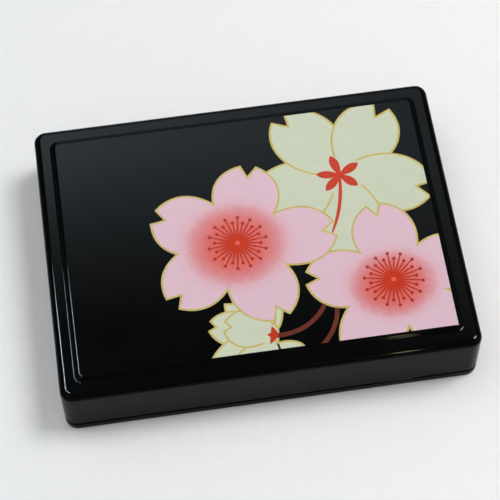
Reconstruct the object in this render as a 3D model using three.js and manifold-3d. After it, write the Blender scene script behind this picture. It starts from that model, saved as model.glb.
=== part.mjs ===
// A flat lacquered box for letters and postcards: a shallow base under a slip-over lid.
// The lid has a flat rim, a raised panel and a picture of cherry blossom laid on it in thin layers.
// Millimetres, +Z up, +X to the right along the front, +Y to the back.
// The origin is on the floor under the middle of the box.
import * as THREE from "three";
import { mergeVertices } from "three/addons/utils/BufferGeometryUtils.js";
import Module from "manifold-3d";

// Driving dimensions of the lid, with the plan size taken just under its rounded top edge.
const lidLength = 170;
const lidDepth = 125.8;
const lidHeight = 24.6;
const lidCornerRadius = 4.9;
const lidEdgeRadius = 2.8;
const lidBoardThickness = 4;
const lidWallThickness = 4;
const skirtFlare = 0.4;
const skirtFootRadius = 1;

// The raised panel on the lid: how far its foot and its flat top lie inside the outer edge.
const panelRise = 1.2;
const panelFootInset = 6.3;
const panelTopInset = 8.85;
const panelFootCornerRadius = 3.85;
const panelTopCornerRadius = 1.3;

// Driving dimensions of the base.
const plinthHeight = 4.4;
const plinthTopRadius = 1;
const plinthFootRadius = 0.8;
const baseWallThickness = 3;
const baseCornerRadius = 1.5;
const baseRimRadius = 0.8;

// Clearances: round the base walls, over them, and between plinth and skirt.
const slipClearance = 0.5;
const headClearance = 1;
const seamClearance = 0.3;

// The picture: thickness of a layer, width of a gold line, and the room between neighbouring layers.
const layerThickness = 0.06;
const goldLineWidth = 0.8;
const layerClearance = 0.3;

// One cherry petal, along its middle from the heart of the blossom to its two tips.
const petalReach = 38.7;
const petalHalfWidth = 13.5;
const petalTipSpread = 3.9;
const petalNotchDepth = 5.6;
const petalFootFullness = 0.95;
const petalShoulderFullness = 1.53;
const petalSides = 9;

// The blossoms: where the petals and the heart of each one lie, from the right and near edges of the
// panel, and the way that its petals point, in degrees.
const leftBlossomFromRight = 82.1;
const leftBlossomFromNear = 50.1;
const leftHeartFromRight = 82.3;
const leftHeartFromNear = 50.2;
const leftPetalTurns = [0, 74.6, 151.8, 217.9, 288.7];
const leftStamenTurn = 5.3;
const rightBlossomFromRight = 20.9;
const rightBlossomFromNear = 22.9;
const rightHeartFromRight = 22;
const rightHeartFromNear = 24.2;
const rightPetalTurns = [16.5, 93.5, 168.3, 235, 305.8];
const rightStamenTurn = 15.2;
const rightBlossomScale = 0.97;
const paleBlossomFromRight = 35.2;
const paleBlossomFromNear = 76.4;
const paleCalyxFromRight = 36.2;
const paleCalyxFromNear = 76;
const palePetalTurns = [-88.5, -17.7, 53, 123.2, 194];

// The red stamens in the heart of a pink blossom.
const heartRadius = 17.5;
const stamenCount = 28;
const stamenLongReach = 11.9;
const stamenShortReach = 9.5;
const stamenFootWidth = 0.7;
const stamenTipWidth = 0.35;
const antherRadius = 0.65;
const stamenHeartRadius = 3.4;
const pistilRadius = 1;

// The calyx and stem on the back of the pale blossom.
const calyxHubRadius = 5;
const sepalTurns = [100, 168.7, 228, 320.2, 26.6];
const sepalLength = 9.6;
const sepalHalfWidth = 1.9;
const sepalHubRadius = 1.6;
const stemReach = 27.8;
const stemTurn = -104.5;
const stemWidth = 1.4;
const stemTipWidth = 0.7;
const stemBow = 3.6;

// The bud, seen from the side: the place of its calyx, and its petals from the top one down.
const budFromRight = 73.4;
const budFromNear = 6.4;
const budHubRadius = 2.2;
const budSepalTurns = [109, 173, 231];
const budSepalLength = 4.4;
const budSepalHalfWidth = 1.5;
const budFrontPetal = { turn: 160, reach: 20.7, halfWidth: 7.8, tipSpread: 3, notchDepth: 3 };
const budLowerPetal = { turn: 230, reach: 24, halfWidth: 8.2, tipSpread: 3, notchDepth: 2.5 };
const budLowerLeftPetal = { turn: 200, reach: 28.5, halfWidth: 8, tipSpread: 2.5, notchDepth: 2.5 };
const budLeftPetal = { turn: 161, reach: 26.4, halfWidth: 8.5, tipSpread: 2.6, notchDepth: 2.4 };
const budUpperLeftPetal = { turn: 129, reach: 24.8, halfWidth: 6.5, tipSpread: 3, notchDepth: 2.5 };
const budUpperPetal = { turn: 90, reach: 17, halfWidth: 5, tipSpread: 1.5, notchDepth: 1.5 };
const budLowerRightPetal = { turn: -60, reach: 17, halfWidth: 5.6, tipSpread: 2, notchDepth: 1.5 };
const budBackPetals = [
  budLowerPetal,
  budLowerLeftPetal,
  budLeftPetal,
  budUpperLeftPetal,
  budUpperPetal,
  budLowerRightPetal,
];

// The brown twigs: where each one starts and ends, and the point that its bow leans towards.
const twigWidth = 1.9;
const leftTwigStartFromRight = 72.1;
const leftTwigStartFromNear = 6.1;
const leftTwigBowFromRight = 58.4;
const leftTwigBowFromNear = 5.9;
const leftTwigEndFromRight = 51.3;
const leftTwigEndFromNear = 16.5;
const rightTwigStartFromRight = 46.9;
const rightTwigStartFromNear = 14;
const rightTwigBowFromRight = 47.3;
const rightTwigBowFromNear = 5.9;
const rightTwigEndFromRight = 55.2;
const rightTwigEndFromNear = -1;

// How finely the round corners and edges are cut.
const cornerSteps = 6;
const edgeSteps = 4;
const discSides = 24;
const antherSides = 6;

// Finishes.
const blackLacquer = finish(0x101113, 0.12);
const insideLacquer = finish(0x16171a, 0.3);
const goldPaint = finish(0xc8b45c, 0.4, 0.5);
const pinkPaint = finish(0xd7b7c0, 0.45);
const palePaint = finish(0xc7cfb8, 0.45);
const redPaint = finish(0xc03c2a, 0.45);
const brownPaint = finish(0x562b1a, 0.45);

// What follows from the driving dimensions.
const lidInnerHalfLength = lidLength / 2 - lidWallThickness;
const lidInnerHalfDepth = lidDepth / 2 - lidWallThickness;
const lidUnderside = lidHeight - lidBoardThickness;
const panelTop = lidHeight + panelRise;
const panelHalfLength = lidLength / 2 - panelTopInset;
const panelHalfDepth = lidDepth / 2 - panelTopInset;
const lidFoot = plinthHeight + seamClearance;
const baseHalfLength = lidInnerHalfLength - slipClearance;
const baseHalfDepth = lidInnerHalfDepth - slipClearance;
const baseWallTop = lidFoot + lidUnderside - headClearance;
const farAway = lidLength + lidDepth;

const wasm = await Module();
wasm.setup();

// A material with its colour, roughness and metalness.
function finish(color, roughness, metalness = 0) {
  return new THREE.MeshStandardMaterial({ color, roughness, metalness });
}

// A closed geometry as a solid that can be joined and cut.
function solidOf(geometry) {
  geometry.deleteAttribute("normal");
  geometry.deleteAttribute("uv");
  const merged = mergeVertices(geometry);
  const vertProperties = new Float32Array(merged.attributes.position.array);
  const triVerts = new Uint32Array(merged.index.array);
  return new wasm.Manifold(new wasm.Mesh({ numProp: 3, vertProperties, triVerts }));
}

// A solid as a named mesh.
function meshOf(name, solid, material) {
  const { vertProperties, triVerts } = solid.getMesh();
  const geometry = new THREE.BufferGeometry();
  geometry.setAttribute("position", new THREE.BufferAttribute(vertProperties, 3));
  geometry.setIndex(new THREE.BufferAttribute(triVerts, 1));
  geometry.computeVertexNormals();
  const mesh = new THREE.Mesh(geometry, material);
  mesh.name = name;
  return mesh;
}

// All of the solids joined into one.
function joined(solids) {
  return solids.reduce((sum, solid) => sum.add(solid));
}

// A block between two corners.
function block(low, high) {
  const size = high.clone().sub(low);
  const centre = low.clone().add(high).multiplyScalar(0.5);
  const geometry = new THREE.BoxGeometry(size.x, size.y, size.z);
  return solidOf(geometry.translate(centre.x, centre.y, centre.z));
}

// A point on a circle, at an angle in degrees.
function polar(radius, degrees) {
  const angle = THREE.MathUtils.degToRad(degrees);
  return new THREE.Vector2(radius * Math.cos(angle), radius * Math.sin(angle));
}

// A level ring of points round a rectangle with round corners, counterclockwise.
function roundedRing(halfLength, halfDepth, radius, z) {
  const quarters = [0, 90, 180, 270];
  return quarters.flatMap((start) => {
    const corner = polar(Math.SQRT2, start + 45);
    const x = corner.x * (halfLength - radius);
    const y = corner.y * (halfDepth - radius);
    return Array.from({ length: cornerSteps + 1 }, (_, step) => {
      const arc = polar(radius, start + (90 * step) / cornerSteps);
      return new THREE.Vector3(x + arc.x, y + arc.y, z);
    });
  });
}

// A closed solid through a stack of rings, from the lowest to the highest.
function loft(rings) {
  const count = rings[0].length;
  const last = (rings.length - 1) * count;
  const index = [];
  for (let i = 0; i < last; i += 1) {
    const next = i % count === count - 1 ? i + 1 - count : i + 1;
    index.push(i, next, next + count, i, next + count, i + count);
  }
  for (let i = 1; i < count - 1; i += 1) {
    index.push(0, i + 1, i, last, last + i, last + i + 1);
  }
  const geometry = new THREE.BufferGeometry().setFromPoints(rings.flat());
  geometry.setIndex(index);
  return solidOf(geometry);
}

// The steps of a quarter circle from upright to level: how far in and how far up each one lies.
function quarterRound(radius) {
  return Array.from({ length: edgeSteps + 1 }, (_, step) => {
    const arc = polar(radius, (90 * step) / edgeSteps);
    return { inset: radius - arc.x, rise: arc.y };
  });
}

// A ring round the outside of the lid, which widens a little towards its foot.
function lidRing(z, inset = 0) {
  const flare = (skirtFlare * (lidHeight - z)) / lidHeight - inset;
  return roundedRing(lidLength / 2 + flare, lidDepth / 2 + flare, lidCornerRadius + flare, z);
}

// A ring round the side of the raised panel: share 0 at its foot on the rim, 1 at its flat top.
function panelRing(share) {
  const inset = THREE.MathUtils.lerp(panelFootInset, panelTopInset, share);
  const radius = THREE.MathUtils.lerp(panelFootCornerRadius, panelTopCornerRadius, share);
  const z = lidHeight + panelRise * THREE.MathUtils.smoothstep(share, 0, 1);
  return roundedRing(lidLength / 2 - inset, lidDepth / 2 - inset, radius, z);
}

// The top board of the lid: rounded outer edge, flat rim and raised panel.
function lidTopBoard() {
  const edge = quarterRound(lidEdgeRadius);
  const edgeFoot = lidHeight - lidEdgeRadius;
  const slope = Array.from({ length: edgeSteps + 1 }, (_, step) => panelRing(step / edgeSteps));
  return loft([lidRing(lidUnderside), ...edge.map((e) => lidRing(edgeFoot + e.rise, e.inset)), ...slope]);
}

// Meshes for the four walls cut from one ring, named after their side: the long ones run through.
function wallMeshes(prefix, ring, innerHalfLength, innerHalfDepth, material) {
  const wall = (side, lowX, lowY, highX, highY) => {
    const low = new THREE.Vector3(lowX, lowY, -farAway);
    const high = new THREE.Vector3(highX, highY, farAway);
    return meshOf(`${prefix}_${side}_wall`, ring.intersect(block(low, high)), material);
  };
  return [
    wall("front", -farAway, -farAway, farAway, -innerHalfDepth),
    wall("back", -farAway, innerHalfDepth, farAway, farAway),
    wall("left", -farAway, -innerHalfDepth, -innerHalfLength, innerHalfDepth),
    wall("right", innerHalfLength, -innerHalfDepth, farAway, innerHalfDepth),
  ];
}

// The skirt of the lid as one ring, before it is cut into walls.
function lidSkirt() {
  const foot = quarterRound(skirtFootRadius).reverse();
  const rounded = foot.map((e) => lidRing(skirtFootRadius - e.rise, e.inset));
  const outside = loft([...rounded, lidRing(lidUnderside)]);
  const inside = block(
    new THREE.Vector3(-lidInnerHalfLength, -lidInnerHalfDepth, -farAway),
    new THREE.Vector3(lidInnerHalfLength, lidInnerHalfDepth, farAway),
  );
  return outside.subtract(inside);
}

// The bottom board, whose edge shows under the lid as a plinth.
function bottomBoard() {
  const foot = quarterRound(plinthFootRadius).reverse();
  const top = quarterRound(plinthTopRadius);
  const plinthRing = (z, inset) => {
    const out = skirtFlare - inset;
    return roundedRing(lidLength / 2 + out, lidDepth / 2 + out, lidCornerRadius + out, z);
  };
  return loft([
    ...foot.map((e) => plinthRing(plinthFootRadius - e.rise, e.inset)),
    ...top.map((e) => plinthRing(plinthHeight - plinthTopRadius + e.rise, e.inset)),
  ]);
}

// The walls of the base as one ring, with a rounded rim that the lid slips over.
function baseRim() {
  const baseRing = (z, inset = 0) =>
    roundedRing(baseHalfLength - inset, baseHalfDepth - inset, baseCornerRadius - inset, z);
  const rim = quarterRound(baseRimRadius);
  const outside = loft([
    baseRing(plinthHeight),
    ...rim.map((e) => baseRing(baseWallTop - baseRimRadius + e.rise, e.inset)),
  ]);
  const halfLength = baseHalfLength - baseWallThickness;
  const halfDepth = baseHalfDepth - baseWallThickness;
  const inside = block(
    new THREE.Vector3(-halfLength, -halfDepth, -farAway),
    new THREE.Vector3(halfLength, halfDepth, farAway),
  );
  return outside.subtract(inside);
}

// A point on the panel, measured from its right and near edges.
function onPanel(fromRight, fromNear) {
  return new THREE.Vector2(panelHalfLength - fromRight, fromNear - panelHalfDepth);
}

// An outline moved outwards by a distance, or inwards where it is negative, with its corners kept.
function grown(outline, distance) {
  return outline.map((point, i) => {
    const before = outline.at(i - 1);
    const after = outline[(i + 1) % outline.length];
    const arriving = point.clone().sub(before).normalize();
    const leaving = after.clone().sub(point).normalize();
    const corner = new THREE.Vector2(arriving.y + leaving.y, -arriving.x - leaving.x);
    return corner.multiplyScalar(distance / (1 + arriving.dot(leaving))).add(point);
  });
}

// A flat plate on the panel with the given outline, up to a level of the picture.
function plate(outline, level) {
  const geometry = new THREE.ExtrudeGeometry(new THREE.Shape(outline), {
    depth: level * layerThickness,
    bevelEnabled: false,
  });
  return solidOf(geometry.translate(0, 0, panelTop));
}

// A round outline.
function disc(centre, radius, sides = discSides) {
  return Array.from({ length: sides }, (_, i) => polar(radius, (360 * i) / sides).add(centre));
}

// A petal with its notch, turned and placed at the heart of its blossom.
function petalOutline(centre, turn, petal) {
  const { reach, halfWidth, tipSpread, notchDepth } = petal;
  const side = new THREE.CubicBezierCurve(
    new THREE.Vector2(0, 0),
    new THREE.Vector2(0.21 * reach, petalFootFullness * halfWidth),
    new THREE.Vector2(0.8 * reach, petalShoulderFullness * halfWidth),
    new THREE.Vector2(reach, tipSpread),
  ).getPoints(petalSides);
  const mirrored = side.map((point) => new THREE.Vector2(point.x, -point.y));
  const notch = new THREE.Vector2(reach - notchDepth, 0);
  const outline = [...mirrored, notch, ...side.slice(1).reverse()];
  const origin = new THREE.Vector2();
  return outline.map((point) => point.rotateAround(origin, THREE.MathUtils.degToRad(turn)).add(centre));
}

// A leaf with a pointed tip and a narrow foot, from a centre outwards.
function leafOutline(centre, turn, length, halfWidth) {
  const side = new THREE.CubicBezierCurve(
    new THREE.Vector2(0, 0),
    new THREE.Vector2(0.35 * length, 0.5 * halfWidth),
    new THREE.Vector2(0.6 * length, 2 * halfWidth),
    new THREE.Vector2(length, 0),
  ).getPoints(petalSides);
  const mirrored = side.slice(0, -1).map((point) => new THREE.Vector2(point.x, -point.y));
  const outline = [...mirrored, ...side.slice(1).reverse()];
  const origin = new THREE.Vector2();
  return outline.map((point) => point.rotateAround(origin, THREE.MathUtils.degToRad(turn)).add(centre));
}

// A strip along a bowed line, with its width at either end.
function stripOutline(start, bow, end, startWidth, endWidth) {
  const middle = new THREE.QuadraticBezierCurve(start, bow, end);
  const steps = 2 * edgeSteps;
  const sideAt = (step, sign) => {
    const share = step / steps;
    const along = middle.getTangent(share);
    const half = (sign * THREE.MathUtils.lerp(startWidth, endWidth, share)) / 2;
    return new THREE.Vector2(along.y, -along.x).multiplyScalar(half).add(middle.getPoint(share));
  };
  const right = Array.from({ length: steps + 1 }, (_, step) => sideAt(step, 1));
  const left = Array.from({ length: steps + 1 }, (_, step) => sideAt(step, -1));
  return [...right, ...left.reverse()];
}

// Where the picture may lie, and the rooms of the layers that are on the panel already.
const panelFlat = loft([
  roundedRing(panelHalfLength, panelHalfDepth, panelTopCornerRadius, 0),
  roundedRing(panelHalfLength, panelHalfDepth, panelTopCornerRadius, farAway),
]);
const rooms = [];

// One layer of the picture: a solid up to a level, laid over the layers before it.
function layer(name, material, solid, outlines, level) {
  const free = rooms.reduce((rest, room) => rest.subtract(room), solid.intersect(panelFlat));
  const room = joined(outlines.map((outline) => plate(grown(outline, layerClearance), level)));
  const under = block(
    new THREE.Vector3(-farAway, -farAway, -farAway),
    new THREE.Vector3(farAway, farAway, panelTop),
  );
  rooms.push(room.add(under));
  return meshOf(name, free, material);
}

// A layer that fills all of its outlines.
function filledLayer(name, material, outlines, level) {
  return layer(name, material, joined(outlines.map((outline) => plate(outline, level))), outlines, level);
}

// The gold ground of a blossom and its petals, with a gold line left open along each petal.
// A petal is cut by those that lie over it, and all petals meet in the heart.
function petalLayers(name, material, petals, petalsOver, heart, level) {
  const half = goldLineWidth / 2;
  const ground = petals.map((outline) => grown(outline, half));
  const whole = petals.map((outline) => plate(grown(outline, -half), level + 1));
  const coloured = whole.map((petal, i) => {
    const covers = petalsOver(i).map((over) => plate(grown(over, half), level + 1));
    return covers.reduce((rest, cover) => rest.subtract(cover), petal);
  });
  coloured.push(plate(heart, level + 1).intersect(joined(whole)));
  return [
    filledLayer(`${name}_outline`, goldPaint, ground, level),
    layer(`${name}_petals`, material, joined(coloured), ground, level + 1),
  ];
}

// The layers of an open blossom, whose petals each lie over the next one, all the way round.
function openBlossom(name, material, centre, turns, scale, heart, level) {
  const petals = turns.map((turn) =>
    petalOutline(centre, turn, {
      reach: scale * petalReach,
      halfWidth: scale * petalHalfWidth,
      tipSpread: scale * petalTipSpread,
      notchDepth: scale * petalNotchDepth,
    }),
  );
  return petalLayers(name, material, petals, (i) => [petals.at(i - 1)], heart, level);
}

// The stamens of a blossom: long and short ones by turns, each with its anther, round the pistil.
function stamens(name, centre, firstTurn, level) {
  const threads = Array.from({ length: stamenCount }, (_, i) => {
    const turn = firstTurn + (360 * i) / stamenCount;
    const reach = i % 2 === 0 ? stamenLongReach : stamenShortReach;
    const tip = polar(reach, turn).add(centre);
    const foot = polar(stamenFootWidth / 2, turn + 90);
    const end = polar(stamenTipWidth / 2, turn + 90);
    const thread = [
      centre.clone().sub(foot),
      tip.clone().sub(end),
      tip.clone().add(end),
      centre.clone().add(foot),
    ];
    return plate(thread, level).add(plate(disc(tip, antherRadius, antherSides), level));
  });
  const heart = plate(disc(centre, stamenHeartRadius), level);
  const pistil = plate(disc(centre, pistilRadius), level);
  const solid = joined([heart, ...threads]).subtract(pistil);
  return layer(`${name}_stamens`, redPaint, solid, [disc(centre, stamenLongReach + antherRadius)], level);
}

// The pale blossom, seen from behind with its calyx and stem.
function paleBlossom() {
  const centre = onPanel(paleBlossomFromRight, paleBlossomFromNear);
  const calyx = onPanel(paleCalyxFromRight, paleCalyxFromNear);
  const sepals = sepalTurns.map((turn) => leafOutline(calyx, turn, sepalLength, sepalHalfWidth));
  const stemEnd = polar(stemReach, stemTurn).add(calyx);
  const bow = calyx.clone().lerp(stemEnd, 0.5).add(new THREE.Vector2(stemBow, 0));
  const stem = stripOutline(calyx, bow, stemEnd, stemWidth, stemTipWidth);
  const hub = disc(calyx, calyxHubRadius);
  return [
    ...openBlossom("pale_blossom", palePaint, centre, palePetalTurns, 1, hub, 1),
    filledLayer("pale_blossom_calyx", redPaint, [...sepals, disc(calyx, sepalHubRadius), stem], 3),
  ];
}

// The pale bud: petals behind, one petal in front, and its calyx.
function paleBud() {
  const centre = onPanel(budFromRight, budFromNear);
  const petals = budBackPetals.map((petal) => petalOutline(centre, petal.turn, petal));
  const front = petalOutline(centre, budFrontPetal.turn, budFrontPetal);
  const half = goldLineWidth / 2;
  const sepals = budSepalTurns.map((turn) => leafOutline(centre, turn, budSepalLength, budSepalHalfWidth));
  return [
    ...petalLayers("bud", palePaint, petals, (i) => petals.slice(0, i), disc(centre, budHubRadius), 1),
    filledLayer("bud_front_outline", goldPaint, [grown(front, half)], 3),
    filledLayer("bud_front_petal", palePaint, [grown(front, -half)], 4),
    filledLayer("bud_calyx", redPaint, [...sepals, disc(centre, budHubRadius / 2)], 5),
  ];
}

// The two twigs, from the bud and from the near edge of the panel up under the right blossom.
function twigs() {
  const left = stripOutline(
    onPanel(leftTwigStartFromRight, leftTwigStartFromNear),
    onPanel(leftTwigBowFromRight, leftTwigBowFromNear),
    onPanel(leftTwigEndFromRight, leftTwigEndFromNear),
    twigWidth,
    twigWidth,
  );
  const right = stripOutline(
    onPanel(rightTwigStartFromRight, rightTwigStartFromNear),
    onPanel(rightTwigBowFromRight, rightTwigBowFromNear),
    onPanel(rightTwigEndFromRight, rightTwigEndFromNear),
    twigWidth,
    twigWidth,
  );
  return [
    filledLayer("left_twig", brownPaint, [left], 3),
    filledLayer("right_twig", brownPaint, [right], 3),
  ];
}

// The whole picture, from the lowest layers to the highest.
function picture() {
  const right = onPanel(rightBlossomFromRight, rightBlossomFromNear);
  const rightHeart = onPanel(rightHeartFromRight, rightHeartFromNear);
  const rightHub = disc(rightHeart, heartRadius);
  const left = onPanel(leftBlossomFromRight, leftBlossomFromNear);
  const leftHeart = onPanel(leftHeartFromRight, leftHeartFromNear);
  const leftHub = disc(leftHeart, heartRadius);
  return [
    ...paleBlossom(),
    ...paleBud(),
    ...twigs(),
    ...openBlossom("right_blossom", pinkPaint, right, rightPetalTurns, rightBlossomScale, rightHub, 4),
    stamens("right_blossom", rightHeart, rightStamenTurn, 6),
    ...openBlossom("left_blossom", pinkPaint, left, leftPetalTurns, 1, leftHub, 6),
    stamens("left_blossom", leftHeart, leftStamenTurn, 8),
  ];
}

// The base stands on the floor.
const base = new THREE.Group();
base.add(meshOf("bottom_board", bottomBoard(), blackLacquer));
base.add(
  ...wallMeshes(
    "base",
    baseRim(),
    baseHalfLength - baseWallThickness,
    baseHalfDepth - baseWallThickness,
    insideLacquer,
  ),
);

// The lid is drawn from the foot of its skirt, and slips over the base walls down to the plinth.
const lid = new THREE.Group();
lid.add(meshOf("lid_top_board", lidTopBoard(), blackLacquer));
lid.add(...wallMeshes("lid", lidSkirt(), lidInnerHalfLength, lidInnerHalfDepth, blackLacquer));
lid.add(...picture());
lid.position.z = lidFoot;

const box = new THREE.Group();
box.add(base, lid);
export default box;
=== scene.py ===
"""Looks of a flat black lacquered letter box with a slip-over lid and cherry blossom on its panel.

The box stands closed on a pale table. All sizes are in millimetres until a piece is finished.
"""
import logging
import math
from collections.abc import Callable
from dataclasses import dataclass, field
from enum import Enum

import bmesh
import bpy
from mathutils import Matrix, Vector
from mathutils.geometry import interpolate_bezier


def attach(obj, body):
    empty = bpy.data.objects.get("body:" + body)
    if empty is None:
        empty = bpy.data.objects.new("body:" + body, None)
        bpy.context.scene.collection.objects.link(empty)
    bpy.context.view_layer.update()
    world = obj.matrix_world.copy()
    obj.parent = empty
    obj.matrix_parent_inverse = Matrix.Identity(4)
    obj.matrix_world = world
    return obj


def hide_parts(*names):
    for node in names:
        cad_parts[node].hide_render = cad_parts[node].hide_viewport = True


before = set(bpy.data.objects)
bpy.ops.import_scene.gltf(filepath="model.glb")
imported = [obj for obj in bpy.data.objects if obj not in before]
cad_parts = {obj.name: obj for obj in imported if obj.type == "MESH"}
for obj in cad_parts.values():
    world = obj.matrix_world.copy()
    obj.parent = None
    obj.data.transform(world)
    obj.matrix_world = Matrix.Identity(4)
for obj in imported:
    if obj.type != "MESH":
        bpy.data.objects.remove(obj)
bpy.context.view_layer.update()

log = logging.getLogger("lacquer_box")

MM = 0.001

# Points that lie closer together than this are one.
TOUCH = 0.001

# Short names for types. A point is a place on the panel, or a pair of sizes along X and Y.
Point = tuple[float, float]
Shape = bmesh.types.BMesh
Piece = bpy.types.Object
Material = bpy.types.Material
Tree = bpy.types.NodeTree
Socket = bpy.types.NodeSocket


class Join(Enum):
    """How one plate is combined with another."""

    UNION = "UNION"
    DIFFERENCE = "DIFFERENCE"
    INTERSECT = "INTERSECT"


class Body(Enum):
    """The two bodies of the box, which come apart."""

    BASE = "base"
    LID = "lid"


# Shapes.


@dataclass(frozen=True)
class Ring:
    """A level outline with four sides and round corners."""

    half_length: float
    half_depth: float
    radius: float
    z: float

    def draw(self, bm: Shape, corner_segments: int) -> list[bmesh.types.BMEdge]:
        """Draws the outline as a loop of edges.

        Args:
            bm: the mesh to draw in.
            corner_segments: number of steps round each corner.

        Returns:
            The edges of the loop.
        """
        square = bmesh.ops.create_grid(bm, x_segments=1, y_segments=1, size=1.0)["verts"]
        bmesh.ops.scale(bm, verts=square, vec=(self.half_length, self.half_depth, 1.0))
        bmesh.ops.translate(bm, verts=square, vec=(0.0, 0.0, self.z))
        rounded = bmesh.ops.bevel(
            bm,
            geom=square,
            offset=self.radius,
            offset_type="OFFSET",
            segments=corner_segments,
            profile=0.5,
            affect="VERTICES",
            material=-1,
        )
        face = rounded["verts"][0].link_faces[0]
        loop = list(face.edges)
        bmesh.ops.delete(bm, geom=[face], context="FACES_ONLY")
        return loop


def loft(rings: list[Ring], corner_segments: int, closed: bool = False) -> Shape:
    """Skins a closed shell over a stack of rings.

    Args:
        rings: the outlines, in order along the skin.
        corner_segments: number of steps round each corner.
        closed: True joins the last ring to the first, for a shell with a hole through it. Otherwise
            the first and last rings are filled.

    Returns:
        The shell, with its faces pointing out.
    """
    bm = bmesh.new()
    loops = [ring.draw(bm, corner_segments) for ring in rings]
    for lower, upper in zip(loops, loops[1:]):
        bmesh.ops.bridge_loops(bm, edges=lower + upper)
    if closed:
        bmesh.ops.bridge_loops(bm, edges=loops[-1] + loops[0])
    else:
        for loop in (loops[0], loops[-1]):
            bmesh.ops.contextual_create(bm, geom=loop)
    bmesh.ops.recalc_face_normals(bm, faces=bm.faces)
    return bm


def quarter_round(radius: float, steps: int) -> list[Point]:
    """Steps of a quarter circle that turns from an upright side to a level top.

    Args:
        radius: radius of the rounding.
        steps: number of steps.

    Returns:
        For each step, how far in and how far up it lies from the foot of the rounding.
    """
    turns = [math.pi / 2 * step / steps for step in range(steps + 1)]
    return [(radius * (1 - math.cos(turn)), radius * math.sin(turn)) for turn in turns]


def rounded_top(ring: Callable[..., Ring], top: float, radius: float, steps: int) -> list[Ring]:
    """Rings round the upper edge of a side.

    Args:
        ring: gives a ring of the side at a height, moved inwards by an inset.
        top: height at which the rounding ends.
        radius: radius of the rounding.
        steps: number of steps round it.

    Returns:
        The rings, from the side up to the top.
    """
    return [ring(top - radius + rise, inset) for inset, rise in quarter_round(radius, steps)]


def rounded_foot(ring: Callable[..., Ring], radius: float, steps: int) -> list[Ring]:
    """Rings round the lower edge of a side whose foot is at height 0, from there upwards."""
    return [ring(radius - rise, inset) for inset, rise in reversed(quarter_round(radius, steps))]


def mesh_from(bm: Shape, name: str) -> bpy.types.Mesh:
    """Moves a shape into a mesh with smooth shading, and frees it.

    Args:
        bm: the shape.
        name: name of the mesh.

    Returns:
        The mesh.
    """
    mesh = bpy.data.meshes.new(name)
    bm.to_mesh(mesh)
    bm.free()
    mesh.shade_smooth()
    return mesh


def piece_from(
    bm: Shape, name: str, body: Body, nodes: list[str], materials: list[Material]
) -> Piece:
    """Finishes a shape as a piece of the box.

    Args:
        bm: the shape, in millimetres and in place.
        name: name of the piece.
        body: the body that it moves with.
        nodes: the solids that it stands for.
        materials: its materials, in the order of its faces' material numbers.

    Returns:
        The piece, with its place in its mesh.
    """
    bmesh.ops.scale(bm, verts=bm.verts, vec=(MM, MM, MM))
    mesh = mesh_from(bm, name)
    for material in materials:
        mesh.materials.append(material)
    piece = bpy.data.objects.new(name, mesh)
    bpy.context.scene.collection.objects.link(piece)
    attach(piece, body.value)
    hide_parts(*nodes)
    log.info("%s: %d faces, on %s, for %s", name, len(mesh.polygons), body.value, ", ".join(nodes))
    return piece


def keep_flats_flat(piece: Piece) -> None:
    """Lets large flat faces set the normals at their rims, so that reflections run straight."""
    weighted = piece.modifiers.new("flat_faces", "WEIGHTED_NORMAL")
    weighted.mode = "FACE_AREA"
    weighted.weight = 100
    weighted.keep_sharp = True


def as_work_object(bm: Shape) -> bpy.types.Object:
    """Puts a shape on a work object, for a modifier to take it up. The shape is used up."""
    work = bpy.data.objects.new("work", mesh_from(bm, "work"))
    bpy.context.scene.collection.objects.link(work)
    return work


def combine(first: Shape, others: list[Shape], how: Join) -> Shape:
    """Joins plates, or cuts one with others.

    Args:
        first: the plate to change.
        others: the plates to join to it or to cut it with, one after the other.
        how: union, difference, or what the plates have in common.

    Returns:
        The result. All the plates are used up.
    """
    works = [as_work_object(plate) for plate in (first, *others)]
    for other in works[1:]:
        cut = works[0].modifiers.new("cut", "BOOLEAN")
        cut.operation = how.value
        cut.solver = "MANIFOLD"
        cut.object = other
    shape = works[0].evaluated_get(bpy.context.evaluated_depsgraph_get())
    result = bmesh.new()
    result.from_mesh(shape.to_mesh())
    shape.to_mesh_clear()
    for work in works:
        mesh = work.data
        bpy.data.objects.remove(work)
        bpy.data.meshes.remove(mesh)
    return result


def joined(plates: list[Shape]) -> Shape:
    """All plates joined into one. They are used up."""
    return combine(plates[0], plates[1:], Join.UNION)


# Finishes.

# Input and output numbers of a Mix node that mixes colours.
FIRST_COLOUR, SECOND_COLOUR, MIXED_COLOUR = 6, 7, 2

# The quiet gloss of the paints. Their index of refraction is nearly as low as that of the coat round
# them.
PAINT_GLOSS = {"Roughness": 0.16, "IOR": 1.16}


def linear(colour: str) -> tuple[float, float, float, float]:
    """Turns an sRGB hex colour into linear red, green, blue and alpha."""
    levels = [int(colour[i:i + 2], 16) / 255 for i in (1, 3, 5)]
    red, green, blue = (
        level / 12.92 if level <= 0.04045 else ((level + 0.055) / 1.055) ** 2.4 for level in levels
    )
    return (red, green, blue, 1.0)


def feed(node: bpy.types.Node, inputs: dict[str | int, object]) -> None:
    """Sets a node's inputs.

    Args:
        node: the node.
        inputs: for each input, by name or number, its value or the output that is linked to it.
    """
    for name, value in inputs.items():
        if isinstance(value, Socket):
            node.id_data.links.new(value, node.inputs[name])
        else:
            node.inputs[name].default_value = value


def add_node(
    tree: Tree, kind: str, inputs: dict[str | int, object] | None = None, **settings: object
) -> bpy.types.Node:
    """Adds a node to a tree.

    Args:
        tree: the node tree.
        kind: the node's type name, without the ShaderNode that it starts with.
        inputs: what its inputs get.
        settings: values of its other properties.

    Returns:
        The node.
    """
    node = tree.nodes.new(f"ShaderNode{kind}")
    for name, value in settings.items():
        setattr(node, name, value)
    feed(node, inputs or {})
    return node


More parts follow.
